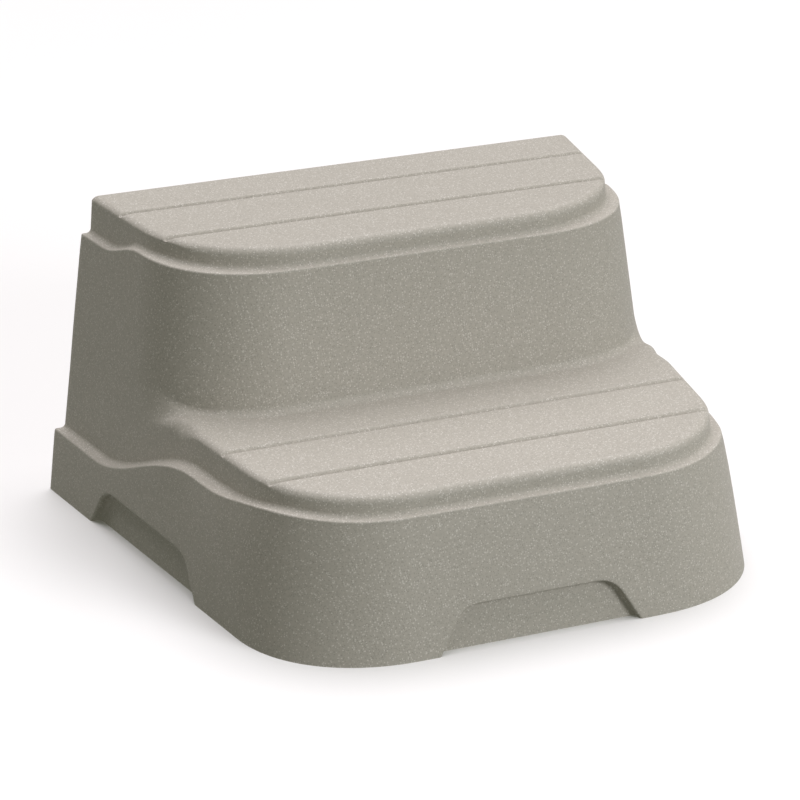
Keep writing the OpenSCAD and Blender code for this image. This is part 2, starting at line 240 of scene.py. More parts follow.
foot_outline = upper_wall_at(LOWER_TREAD + RISER_FILLET)
foot_front = foot_outline[1]
wing_depths = spread(
    (UPPER_EVEN, recess_near + recess_arc, 0.0024), (recess_near + recess_arc, foot_front - 0.02, 0.006),
    (foot_front - 0.02, foot_front, 0.0025)
)
wing_turns = column_at(wing_depths, foot_outline, UPPER_EVEN, 0.0, 0.0)
groove_depths = np.arange(*np.array(round_groove(UPPER_GROOVES[1])) + [0, 0.0005, 0])
groove_turns = column_at(groove_depths, cap_at(HEIGHT - TREAD_ROUND), UPPER_EVEN, -TREAD_ROUND, 0.0)
wing_turns = spread(*[(t, t, 1) for t in np.concatenate([wing_turns, groove_turns, np.linspace(1, 2, 30)])])
wing_turns = wing_turns[1:]
wing_outline = np.broadcast_to(foot_outline, (wing_turns.size, 5))
wing_y = -placed(wing_outline, wing_turns, UPPER_EVEN, 0.0, 0.0)[..., 1]
WING_LEAD = 0.014  # the last side ends run ahead of the riser, so that no cell folds over
wing_y += WING_LEAD * ease((wing_turns - 1.5) / 0.5)


def side_columns(start):
    """Columns of the side that the lower and the upper walls share, as [upper, lower]."""
    shared = spread((start, UPPER_EVEN, 0.006), round_groove(UPPER_GROOVES[0]))
    return np.concatenate([np.stack([shared, shared], 1), np.stack([wing_turns, wing_y], 1)])


ahead = spread(
    (wing_y[-1], recess_far - recess_arc, 0.004), (recess_far - recess_arc, recess_far, 0.0024),
    (recess_far, LOWER_EVEN, 0.0016), round_groove(LOWER_GROOVES[0])
)[1:]
corner_groove = np.arange(*np.array(round_groove(LOWER_GROOVES[1])) + [0, 0.0005, 0])
edge_outline = lower_wall_at(LOWER_TREAD - TREAD_ROUND)
corner_turns = column_at(corner_groove, edge_outline, LOWER_EVEN, -TREAD_ROUND, 0.0)
corner = spread(*[(t, t, 1) for t in np.concatenate([corner_turns, np.linspace(1, 2, 46)])])[1:]
ahead = np.concatenate([ahead, corner])
front_half = SKIRT_FOOT[0] - SKIRT_FOOT[4] * SKIRT_FOOT[1] - SKIRT_FOOT[2]
WING_CELLS = 12
FRONT_CELLS = 24
front_x = np.concatenate([
    np.linspace(front_half, FRONT_RECESS_HALF + RECESS_MARGIN, 5)[1:],
    np.linspace(FRONT_RECESS_HALF + RECESS_MARGIN, 0.068, 25)[1:],
    np.linspace(0.068, 0, 9)[1:]
])
front_lower = 3 - front_x / front_half
front_upper = np.linspace(2, 3, FRONT_CELLS + 1)[1:]


def arch(u, q, half):
    """A point of the arch outline, grown by q. u runs 0 to 1 over its right half: the sloping end, the
    rounded corner, then the flat top to the middle. Gives distance from the middle and height."""
    slope = np.arctan2(RECESS_HEIGHT, RECESS_LEAN)
    corner_z = RECESS_HEIGHT - RECESS_CORNER
    corner_s = half - RECESS_LEAN * corner_z / RECESS_HEIGHT - RECESS_CORNER / np.sin(slope)
    r = RECESS_CORNER + q
    foot_s = half + q / np.sin(slope)
    bend_s, bend_z = corner_s + r * np.sin(slope), corner_z + r * np.cos(slope)
    line = np.clip(u * 3, 0, 1)
    a = np.pi / 2 - slope + slope * np.clip(u * 3 - 1, 0, 1)
    s = np.where(u < 1 / 3, foot_s + (bend_s - foot_s) * line, corner_s + r * np.cos(a))
    z = np.where(u < 1 / 3, bend_z * line, corner_z + r * np.sin(a))
    return np.where(u > 2 / 3, corner_s * (3 - 3 * u), s), z


def arch_u(s, q, half):
    """The u of the arch point at distance s from the middle."""
    tries = np.linspace(0, 1, 3001)
    return np.interp(-s, -arch(tries, q, half)[0], tries)


def quarter(n):
    """Angles of a quarter turn, in n steps."""
    return np.linspace(0, np.pi / 2, n + 1)


def sweep(first, n):
    """Angles from the first, an array, up to a right angle, in n steps."""
    return [first + (np.pi / 2 - first) * k / n for k in range(n + 1)]


def ledge_rows(outer, wall, column, even, z, drawn_in, e, n):
    """A ledge's rounded edge, then its flat and the cove up to the wall behind it."""
    r = LEDGE_EDGE
    edge = [
        placed(outer, column, even, -drawn_in - r * (1 - np.cos(a)), z - r * (1 - np.sin(a)))
        for a in quarter(n)
    ]
    r = COVE + e
    cove = [placed(wall, column, even, r * (1 - np.sin(a)), z + r * (1 - np.cos(a))) for a in quarter(n + 1)]
    return edge + cove


def wall_steps(n):
    """Shares of a wall's height for n rows and one more close under the edge above, to keep it crisp."""
    return np.concatenate([np.linspace(0, 1, n)[1:-1], [EDGE_SUPPORT, 1]])


def recess_spans(lower, e):
    """The skirt's columns over each recess: name, half width, middle, columns, distances from the middle."""
    spans = []
    for name, half, middle in (("side", SIDE_RECESS_HALF, SIDE_RECESS_Y), ("front", FRONT_RECESS_HALF, 0.0)):
        if name == "side":
            where = -lower - middle
            on_face = lower < 1
        else:
            where = np.concatenate([np.full(lower.size - front_x.size, 9), front_x])
            on_face = lower > 2
        reach = arch(0.0, RECESS_EDGE + e, half)[0]
        over = np.where(on_face & (np.abs(where) < reach - 0.0003))[0]
        spans.append((name, half, middle, over, np.abs(where[over])))
    return spans


def recess_grid(name, half, middle, columns, s, first_row, e, n):
    """The edge round, side wall, inner fillet and back of a recess, hung from the skirt's first row. The
    columns are the skirt's own over the recess, and s is how far each is from its middle."""
    outer_q = RECESS_EDGE + e
    u = arch_u(s, outer_q, half)
    if name == "side":
        sign = np.sign(-columns - middle)
        sign = np.concatenate([[sign[0]], sign, [sign[-1]]])
        u = np.concatenate([[0.0], u, [0.0]])
    else:
        u = np.concatenate([[0.0], u])
        sign = np.ones(u.size)
    inner_r = RECESS_EDGE + RECESS_FILLET
    turns = [(outer_q - RECESS_EDGE * np.sin(a), RECESS_EDGE * (1 - np.cos(a))) for a in quarter(n)]
    turns += [
        (e - inner_r * (1 - np.cos(a)), RECESS_DEPTH - inner_r * (1 - np.sin(a))) for a in quarter(n)
    ]

    def on_skirt(s, z, inward):
        o = shrunk(skirt_at(z), e)
        if name == "side":
            key = -(middle + sign * s)
            drawn_in = waist(-key, z)
        else:
            key = 3 - s / (o[..., 0] - o[..., 4] * o[..., 1] - o[..., 2])
            drawn_in = 0.0
        return placed(o, key, LOWER_EVEN, -inward - drawn_in, z)

    rows = [on_skirt(*arch(u, q, half), depth) for q, depth in turns]
    rows[0][1:columns.size + 1] = first_row
    s, z = arch(u, turns[-1][0], half)
    rows += [on_skirt(s, z * (1 - f), RECESS_DEPTH) for f in np.linspace(0, 1, n + 1)[1:]]
    return np.stack(rows)


def recess_blocks(spans, lower, first_row, e, n):
    """The grids of the recesses, and the line where the skin meets the floor."""
    blocks = []
    floor_line = list(first_row)
    for name, half, middle, over, s in spans:
        grid = recess_grid(name, half, middle, lower[over], s, first_row[over], e, n)
        blocks.append(grid)
        # the skirt's first row meets the floor beside the recess
        first, last = over[0], over[-1]
        blocks.append(np.stack([[first_row[first - 1], first_row[first]], [grid[0, 0], grid[0, 1]]]))
        line = list(grid[:, 0]) + list(grid[-1, 1:])
        if name == "side":
            blocks.append(np.stack([[first_row[last], first_row[last + 1]], [grid[0, -2], grid[0, -1]]]))
            line += list(grid[::-1, -1])[1:]
        floor_line[first:last + 1] = [None] * (over.size - 1) + [line]
    floor = []
    for item in floor_line:
        if isinstance(item, list):
            floor += item
        elif item is not None:
            floor.append(item)
    return blocks, np.array(floor)


def lower_tread_grid(edge_row, rear_row, z):
    """The lower tread ahead of the riser, from its side edge to the middle line."""
    side_ends, front_row = edge_row[:ahead.size + 1], edge_row[ahead.size:]
    v = (side_ends[:, 1] - side_ends[0, 1]) / (side_ends[-1, 1] - side_ends[0, 1])
    rear_share = rear_row[:, 0] / rear_row[0, 0]
    front_share = front_row[:, 0] / front_row[0, 0]
    spacing = rear_share * (1 - v)[:, None] + front_share * v[:, None]
    first, second = (-LOWER_GROOVES[0] - GROOVE_MARGIN), (-LOWER_GROOVES[1] + GROOVE_MARGIN)
    from_rear = 1 - np.clip((-side_ends[:, 1] + side_ends[0, 1]) / (first + side_ends[0, 1]), 0, 1)
    to_front = np.clip((-side_ends[:, 1] - second) / (-side_ends[-1, 1] - second), 0, 1)
    x = side_ends[:, :1] * spacing
    y = side_ends[:, 1:2] + from_rear[:, None] * (rear_row[:, 1] - rear_row[0, 1])
    y = y + to_front[:, None] * (front_row[:, 1] - front_row[0, 1])
    return np.stack([x, y, np.full(x.shape, z)], -1)


def upper_tread_grid(edge_row, wing, z):
    """The upper tread, from its side edge to the middle line."""
    side_ends, front_row = edge_row[:wing], edge_row[wing - 1:]
    second = -UPPER_GROOVES[1] + GROOVE_MARGIN
    to_front = np.clip((-side_ends[:, 1] - second) / (-side_ends[-1, 1] - second), 0, 1)
    x = side_ends[:, :1] * front_row[:, 0] / front_row[0, 0]
    y = side_ends[:, 1:2] + to_front[:, None] * (front_row[:, 1] - front_row[0, 1])
    return np.stack([x, y, np.full(x.shape, z)], -1)


def skin(e, n, start):
    """One skin of the shell, inset by e, with n steps to a round and its rear end at -start. Returns its
    grids, its line on the floor and its profile at the rear, all for the right half."""
    side = side_columns(start)
    wing = side.shape[0]
    lower = np.concatenate([side[:, 1], ahead, front_lower])
    upper = np.concatenate([side[:, 0], front_upper])
    lower_outlines = np.broadcast_to(SKIRT_TOP, (lower.size, 5))
    upper_outlines = np.broadcast_to(UPPER_WALL, (upper.size, 5))
    lower_y = placed(shrunk(lower_outlines, e), lower, LOWER_EVEN, 0.0, 0.0)[:, 1]
    upper_y = placed(shrunk(upper_outlines, e), upper, UPPER_EVEN, 0.0, 0.0)[:, 1]

    def lower_side(o, out, z, pick=slice(None)):
        return placed(shrunk(o, e), lower[pick], LOWER_EVEN, out, z)

    def upper_side(o, out, z, pick=slice(None)):
        return placed(shrunk(o, e), upper[pick], UPPER_EVEN, out, z)

    # the skirt starts at the floor, or at the top of a recess
    foot = np.zeros(lower.size)
    spans = recess_spans(lower, e)
    for _, half, _, over, s in spans:
        foot[over] = arch(arch_u(s, RECESS_EDGE + e, half), RECESS_EDGE + e, half)[1]

    # the tread's edge is rounder towards the rear and is bevelled along the side
    edge_r = TREAD_ROUND + REAR_EXTRA_ROUND * (1 - ease((-lower_y - 0.267) / 0.073))
    edge_r = np.where(lower < 1, edge_r, TREAD_ROUND)
    edge_r = np.maximum(edge_r - e, SMALLEST_ROUND)
    edge_a = SIDE_BEVEL * ease((-lower_y - 0.29) / 0.05) * (1 - ease((-lower_y - 0.475) / 0.06))
    edge_h = edge_r * (1 - np.sin(edge_a))
    tread_z = LOWER_TREAD - e
    ledge_z = lower_ledge_z(lower_y) - e
    rows = []
    for f in np.linspace(0, 1, 2 * n + 1)[:-1]:
        z = foot + (ledge_z - LEDGE_EDGE - foot) * f
        rows.append(lower_side(skirt_at(z), -waist(lower_y, z), z))
    skirt, wall = shrunk(skirt_at(ledge_z), e), shrunk(lower_wall_at(ledge_z + COVE), e)
    rows += ledge_rows(skirt, wall, lower, LOWER_EVEN, ledge_z, waist(lower_y, ledge_z), e, n)
    top = ledge_z + COVE + e
    for f in wall_steps(n):
        z = top + (tread_z - edge_h - top) * f
        rows.append(lower_side(lower_wall_at(z), 0.0, z))
    wall_grid = np.stack(rows)

    # tread edge, tread and fillet beside the riser
    w = slice(0, wing)
    fillet_r = RISER_FILLET + SIDE_EXTRA_FILLET * (1 - ease((-upper_y - 0.160) / 0.110)) + e
    low_o, high_o = lower_wall_at(tread_z - edge_h), upper_wall_at(tread_z + fillet_r)
    low = lower_side(low_o[w], 0.0, (tread_z - edge_h)[w], w)
    high = upper_side(high_o[w], 0.0, (tread_z + fillet_r)[w], w)
    run = np.hypot(*(low - high)[:, :2].T)
    size = np.minimum(1, run / (1.8 * (edge_r[w] + fillet_r[w])))
    open_up = ease((run - 0.004) / 0.045)[:, None]
    r, f = edge_r[w] * size, fillet_r[w] * size
    bevel = edge_a[w]
    stepped = [low] + [
        lower_side(low_o[w], -r * (np.cos(bevel) - np.cos(a)), tread_z - r * (1 - np.sin(a)), w)
        for a in sweep(bevel, n)
    ]
    rise = [upper_side(high_o[w], f * (1 - np.sin(a)), tread_z + f * (1 - np.cos(a)), w) for a in quarter(n)]
    rise.append(high)
    flat_from, flat_to = stepped[-1], rise[0]
    stepped += [flat_from + (flat_to - flat_from) * k / WING_CELLS for k in range(1, WING_CELLS)]
    stepped += rise
    last = len(stepped) - 1
    wing_grid = np.stack([
        (low + (high - low) * i / last) * (1 - open_up) + p * open_up for i, p in enumerate(stepped)
    ])

    # tread edge ahead of the riser and along the front
    h = slice(wing - 1, lower.size)
    bevel = edge_a[h]
    r = edge_r[h]
    edge_grid = np.stack([
        lower_side(low_o[h], -r * (np.cos(bevel) - np.cos(a)), tread_z - r * (1 - np.sin(a)), h)
        for a in sweep(bevel, n)
    ])
    edge_grid[:, 0] = wing_grid[1:n + 2, -1]

    # fillet at the riser's front, then the upper walls
    b = slice(wing - 1, upper.size)
    foot_grid = np.stack([
        upper_side(high_o[b], fillet_r[b] * (1 - np.sin(a)), tread_z + fillet_r[b] * (1 - np.cos(a)), b)
        for a in quarter(n)
    ])
    foot_grid[:, 0] = wing_grid[-n - 2:-1, -1]
    ledge_z = upper_ledge_z(upper_y) - e
    rows = []
    for f in np.linspace(0, 1, n + 1)[:-1]:
        z = tread_z + fillet_r + (ledge_z - LEDGE_EDGE - tread_z - fillet_r) * f
        rows.append(upper_side(upper_wall_at(z), 0.0, z))
    rows[0][w] = wing_grid[-1]
    wall, cap = shrunk(upper_wall_at(ledge_z), e), shrunk(cap_at(ledge_z + COVE), e)
    rows += ledge_rows(wall, cap, upper, UPPER_EVEN, ledge_z, 0.0, e, n)
    r = max(TREAD_ROUND - e, SMALLEST_ROUND)
    bevel = SIDE_BEVEL * (1 - ease((-upper_y - 0.195) / 0.06))
    edge_z = HEIGHT - e - r * (1 - np.sin(bevel))
    support_z = ledge_z + COVE + e + (edge_z - ledge_z - COVE - e) * EDGE_SUPPORT
    rows.append(upper_side(cap_at(support_z), 0.0, support_z))
    rows += [
        upper_side(cap_at(edge_z), -r * (np.cos(bevel) - np.cos(a)), HEIGHT - e - r * (1 - np.sin(a)))
        for a in sweep(bevel, n)
    ]
    upper_grid = np.stack(rows)

    # the rear ends of the rows lie in one plane
    for grid in (wall_grid, wing_grid, upper_grid):
        grid[:, 0, 1] = -start

    tread_row = wing_grid[n + 1:n + 2 + WING_CELLS, -1]
    tread_grid = lower_tread_grid(edge_grid[-1], np.concatenate([tread_row, foot_grid[0, 1:]]), tread_z)
    top_grid = upper_tread_grid(upper_grid[-1], wing, HEIGHT - e)
    recesses, floor = recess_blocks(spans, lower, wall_grid[0], e, n)
    blocks = [wall_grid, wing_grid, edge_grid, foot_grid, upper_grid, tread_grid, top_grid] + recesses
    rear = np.concatenate([wall_grid[:, 0], wing_grid[1:, 0], upper_grid[1:, 0], top_grid[0, 1:]])
    return blocks, floor, rear


def press_grooves(points):
    """The anti-slip grooves, pressed down into the treads and out through their rounded side edges."""
    for y, top in [(y, HEIGHT) for y in UPPER_GROOVES] + [(y, LOWER_TREAD) for y in LOWER_GROOVES]:
        away = np.abs(points[..., 1] - y)
        floor = top - GROOVE_DEPTH * (1 - ease((away - GROOVE_FLOOR) / GROOVE_SLOPE))
        near = (away < GROOVE_FLOOR + GROOVE_SLOPE) & (np.abs(points[..., 2] - top) < 0.012)
        points[..., 2] = np.where(near, np.minimum(points[..., 2], floor), points[..., 2])
    return points


class Surface:
    """Corner points and faces, gathered from grids and flat fills."""

    def __init__(self):
        self.points, self.faces, self.count = [], [], 0

    def add(self, points, faces):
        self.points.append(np.asarray(points, float).reshape(-1, 3))
        self.faces += [tuple(i + self.count for i in f) for f in faces]
        self.count += len(self.points[-1])

    def grid(self, grid):
        """A grid of the right half and its mirror image."""
        r, c = grid.shape[:2]
        quads = [
            (i * c + j, i * c + j + 1, (i + 1) * c + j + 1, (i + 1) * c + j)
            for i in range(r - 1) for j in range(c - 1)
        ]
        self.add(grid, quads)
        self.add(grid * [-1, 1, 1], quads)

    def fill(self, *loops):
        """A flat fill between closed loops."""
        triangles = tessellate_polygon([[Vector(p) for p in loop] for loop in loops])
        self.add(np.concatenate(loops), triangles)


def no_doubles(line):
    """The line without points that repeat the one before."""
    gaps = np.linalg.norm(np.diff(line, axis=0), axis=1)
    return line[np.concatenate([[True], gaps > 2e-6])]


def whole(half_line):
    """A line of the right half, carried on over the middle by its mirror image."""
    return no_doubles(np.concatenate([half_line, half_line[::-1] * [-1, 1, 1]]))


BOARD_THICKNESS = upper_board_high.z - upper_board_low.z
BOSS_RADIUS = 0.011
BOSS_BORE = 0.0047
BOSS_CHAMFER = 0.0008
BOSS_X = 0.105
BOSS_PLACES = [(-0.060, HEIGHT), (-0.215, HEIGHT), (-0.345, LOWER_TREAD), (-0.450, LOWER_TREAD)]


def boss_grid(y, tread):
    """A round boss with a bore for its insert, hanging from the underside of a tread."""
    root = tread - WALL + BOSS_CHAMFER
    end = tread - WALL - BOARD_THICKNESS
    profile = [
        (BOSS_BORE, root), (BOSS_BORE, end + BOSS_CHAMFER), (BOSS_BORE + BOSS_CHAMFER, end),
        (BOSS_RADIUS - BOSS_CHAMFER, end), (BOSS_RADIUS, end + BOSS_CHAMFER), (BOSS_RADIUS, root),
        (BOSS_BORE, root)
    ]
    turn = np.linspace(0, 2 * np.pi, 49)
    rings = [(BOSS_X + r * np.cos(turn), y + r * np.sin(turn), z + 0 * turn) for r, z in profile]
    return np.stack([np.stack(ring, -1) for ring in rings])


def shell_mesh():
    surface = Surface()
    blocks, floor, rear = skin(0.0, 7, REAR_ROUND)
    for block in blocks:
        surface.grid(press_grooves(block))

    # rounded rear edge and flat rear wall
    rear = no_doubles(rear)
    side = np.gradient(rear[:, [0, 2]], axis=0)
    side /= np.linalg.norm(side, axis=1)[:, None]
    inward = np.stack([-side[:, 1], np.zeros(len(side)), side[:, 0]], 1)
    inward[0] = [-1, 0, 0]
    inward[-1] = [0, 0, -1]
    rows = [rear + inward * REAR_ROUND * (1 - np.cos(a)) + [0, REAR_ROUND * np.sin(a), 0] for a in quarter(5)]
    rows = np.stack(rows)
    rows[:, 0, 2] = 0
    surface.grid(rows)
    surface.fill(whole(rows[-1]))

    blocks, inner_floor, inner_rear = skin(WALL, 3, WALL)
    for block in blocks:
        surface.grid(block)
    surface.fill(whole(no_doubles(inner_rear)))
    outer_floor = np.concatenate([rows[::-1, 0], floor[1:]])
    surface.fill(whole(outer_floor), whole(inner_floor))
    for y, tread in BOSS_PLACES:
        surface.grid(boss_grid(y, tread))

    mesh = bpy.data.meshes.new("step_shell_moulding")
    points = np.concatenate(surface.points) + [0, REAR_Y, 0]
    mesh.from_pydata(points.tolist(), [], surface.faces)
    bm = bmesh.new()
    bm.from_mesh(mesh)
    bmesh.ops.remove_doubles(bm, verts=bm.verts, dist=4e-6)
    bmesh.ops.dissolve_degenerate(bm, edges=bm.edges, dist=1e-6)
    bmesh.ops.recalc_face_normals(bm, faces=bm.faces)
    bm.to_mesh(mesh)
    bm.free()
    mesh.shade_smooth()
    mesh.set_sharp_from_angle(angle=np.radians(42))
    return mesh


def node(tree, kind, inputs=None, **settings):
    """A node with its settings, and its inputs set to a value or joined to a socket."""
    made = tree.nodes.new(kind)
    for name, value in settings.items():
        setattr(made, name, value)
    for name, value in (inputs or {}).items():
        if isinstance(value, bpy.types.NodeSocket):
            tree.links.new(value, made.inputs[name])
        else:
            made.inputs[name].default_value = value
    return made


def finish_named(name, **surface):
    """A material with one surface shader, its tree and its place on the piece."""
    material = bpy.data.materials.new(name)
    material.use_nodes = True
    tree = material.node_tree
    tree.nodes.clear()
    shader = node(tree, "ShaderNodeBsdfPrincipled", surface)
    output = node(tree, "ShaderNodeOutputMaterial")
    tree.links.new(shader.outputs["BSDF"], output.inputs["Surface"])
    place = node(tree, "ShaderNodeTexCoord").outputs["Object"]
    return material, tree, shader, place


def scaled(tree, factor, low, high):
    """A 0 to 1 value stretched to run from low to high."""
    inputs = {"Value": factor, "To Min": low, "To Max": high}
    return node(tree, "ShaderNodeMapRange", inputs).outputs["Result"]


def blended(tree, factor, a, b, way="MIX"):
    mix = node(tree, "ShaderNodeMix", data_type="RGBA", blend_type=way)
    for socket, value in ((mix.inputs[0], factor), (mix.inputs[6], a), (mix.inputs[7], b)):
        if isinstance(value, bpy.types.NodeSocket):
            tree.links.new(value, socket)
        else:
            socket.default_value = value
    return mix.outputs[2]


def noise(tree, place, scale, detail=2.0, rough=0.5):
    inputs = {"Vector": place, "Scale": scale, "Detail": detail, "Roughness": rough}
    return node(tree, "ShaderNodeTexNoise", inputs).outputs["Fac"]


def ramp(tree, factor, *stops):
    made = node(tree, "ShaderNodeValToRGB", {"Fac": factor})
    elements = made.color_ramp.elements
    while len(elements) < len(stops):
        elements.new(0.5)
    for element, (position, shade) in zip(elements, stops):
        element.position = position
        element.color = (shade, shade, shade, 1)
    return made.outputs["Color"]


def bumped(tree, shader, *layers):
    """Bump from (height socket, depth in metres) layers, the coarsest first."""
    normal = None
    for height, depth in layers:
        inputs = {"Height": height, "Distance": depth, "Strength": 1.0}
        if normal is not None:
            inputs["Normal"] = normal
        normal = node(tree, "ShaderNodeBump", inputs).outputs["Normal"]
    tree.links.new(normal, shader.inputs["Normal"])


def granules(tree, place, scale, share):
    """Round granules scattered in a share of the cells of a lattice, as a 0 to 1 value."""
    cells = node(tree, "ShaderNodeTexVoronoi", {"Vector": place, "Scale": scale}).outputs
    round_shape = ramp(tree, cells["Distance"], (0.30, 1), (0.48, 0))
    chosen = ramp(tree, cells["Color"], (share, 1), (share + 0.02, 0))
    return blended(tree, 1.0, round_shape, chosen, "MULTIPLY")


def moulded_polyethylene():
    """Warm grey polyethylene with fine dark and pale stone-like granules and a soft moulded grain."""
    material, tree, shader, place = finish_named("warm_grey_polyethylene", **{"Specular IOR Level": 0.35})
    body = blended(tree, noise(tree, place, 4.0, 3.0), (0.425, 0.400, 0.352, 1), (0.455, 0.430, 0.382, 1))
    mottle = scaled(tree, noise(tree, place, 300.0, 3.0, 0.65), 0.84, 1.16)
    body = blended(tree, 1.0, body, mottle, "MULTIPLY")
    askew = node(tree, "ShaderNodeMapping", {"Vector": place, "Rotation": (0.6, 0.5, 0.9)}).outputs["Vector"]
    dark = granules(tree, askew, 560.0, 0.44)
    pale = granules(tree, askew, 480.0, 0.34)
    body = blended(tree, scaled(tree, dark, 0, 0.40), body, (0.20, 0.19, 0.16, 1))
    body = blended(tree, scaled(tree, pale, 0, 0.42), body, (0.86, 0.84, 0.80, 1))
    tree.links.new(body, shader.inputs["Base Color"])
    grain = noise(tree, place, 900.0, 2.0)
    swell = noise(tree, place, 160.0, 2.0)
    tree.links.new(scaled(tree, swell, 0.52, 0.70), shader.inputs["Roughness"])
    bumped(tree, shader, (swell, 0.00010), (grain, 0.00007))
    return material


shell = bpy.data.objects.new("step_shell_moulding", shell_mesh())
bpy.context.scene.collection.objects.link(shell)
shell.data.materials.append(moulded_polyethylene())
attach(shell, "root")
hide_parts("step_shell")


# ---- Frame boards ----
# Three stepped stringers, four cross rails and two tread boards, sawn from dark recycled plastic board.
# The rails are let into notches and screwed, and the tread boards lie on top of the stringers.
def recycled_board():
    material, tree, shader, place = finish_named("dark_recycled_board", **{"Specular IOR Level": 0.4})
    body = blended(tree, noise(tree, place, 9.0, 4.0), (0.022, 0.022, 0.024, 1), (0.045, 0.044, 0.043, 1))
    fleck = node(tree, "ShaderNodeTexVoronoi", {"Vector": place, "Scale": 260.0}).outputs["Color"]
    fleck = scaled(tree, ramp(tree, fleck, (0.86, 0), (0.93, 1)), 0, 0.5)
    body = blended(tree, fleck, body, (0.20, 0.20, 0.19, 1))
    tree.links.new(body, shader.inputs["Base Color"])
    saw = noise(tree, place, 420.0, 3.0, 0.7)
    tree.links.new(scaled(tree, saw, 0.45, 0.75), shader.inputs["Roughness"])
    bumped(tree, shader, (noise(tree, place, 60.0, 3.0), 0.0003), (saw, 0.0002))
    return material


def dress(material, *names):
    """Gives CAD nodes their material."""
    for name in names:
        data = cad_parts[name].data
        data.materials.clear()
        data.materials.append(material)


dress(
    recycled_board(), "upper_tread_board", "lower_tread_board", "left_stringer", "centre_stringer",
    "right_stringer", "rear_upper_rail", "rear_lower_rail", "riser_rail", "front_rail"
)


# ---- Shoes ----
# Black rubber channels under the six stringer feet, extruded, cut to length and pushed on.
# They stop the frame from knocking and slipping on a hard floor.
def black_rubber():
    material, tree, shader, place = finish_named("black_rubber", **{"Specular IOR Level": 0.3})
    body = blended(tree, noise(tree, place, 30.0, 4.0), (0.012, 0.012, 0.012, 1), (0.030, 0.029, 0.028, 1))
    dust = ramp(tree, noise(tree, place, 210.0, 5.0, 0.7), (0.55, 0), (0.80, 1))
    body = blended(tree, scaled(tree, dust, 0, 0.35), body, (0.14, 0.13, 0.12, 1))
    tree.links.new(body, shader.inputs["Base Color"])
    pores = noise(tree, place, 800.0, 2.0)
    tree.links.new(scaled(tree, pores, 0.70, 0.95), shader.inputs["Roughness"])
    bumped(tree, shader, (pores, 0.00015))
    return material


dress(
    black_rubber(), "left_rear_shoe", "centre_rear_shoe", "right_rear_shoe",
    "left_front_shoe", "centre_front_shoe", "right_front_shoe"
)


# ---- Boss fasteners ----
# A stainless bolt with a hexagon head and a wide washer at each boss, screwed up from below into a brass
# insert. They clamp the tread boards to the underside of the shell. The washers are pressed from sheet.
BOLT_SIZES = {
    "Washer Radius": 0.017,
    "Washer Hole": 0.0036,
    "Washer Thickness": 0.002,
    "Washer Edge": 0.0004,
    "Head Radius": 0.0058,
    "Head Height": 0.004,
    "Head Chamfer": 0.0009,
    "Shank Radius": 0.003,
    "Shank Length": 0.012
}


def drawn_metal(name, dull, bright, rough):
    material, tree, shader, place = finish_named(name, Metallic=1.0)
    streak = node(tree, "ShaderNodeMapping", {"Vector": place, "Scale": (1.0, 1.0, 0.05)}).outputs["Vector"]
    lines = noise(tree, streak, 1500.0, 3.0, 0.6)
    tarnish = noise(tree, place, 120.0, 4.0, 0.6)
    tree.links.new(blended(tree, tarnish, dull, bright), shader.inputs["Base Color"])
    tree.links.new(scaled(tree, lines, rough, rough + 0.22), shader.inputs["Roughness"])
    bumped(tree, shader, (lines, 0.00004))
    return material


stainless_steel = drawn_metal("stainless_steel", (0.42, 0.42, 0.43, 1), (0.66, 0.66, 0.67, 1), 0.22)


def maths(tree, way, a, b):
    made = tree.nodes.new("ShaderNodeMath")
    made.operation = way
    for socket, value in zip(made.inputs, (a, b)):
        if isinstance(value, bpy.types.NodeSocket):
            tree.links.new(value, socket)
        else:
            socket.default_value = value
    return made.outputs[0]


def lifted(tree, geometry, height):
    """Geometry moved up by a height, down if it is negative."""
    offset = node(tree, "ShaderNodeCombineXYZ", {"Z": height}).outputs[0]
    return node(tree, "GeometryNodeTransform", {"Geometry": geometry, "Translation": offset}).outputs[0]


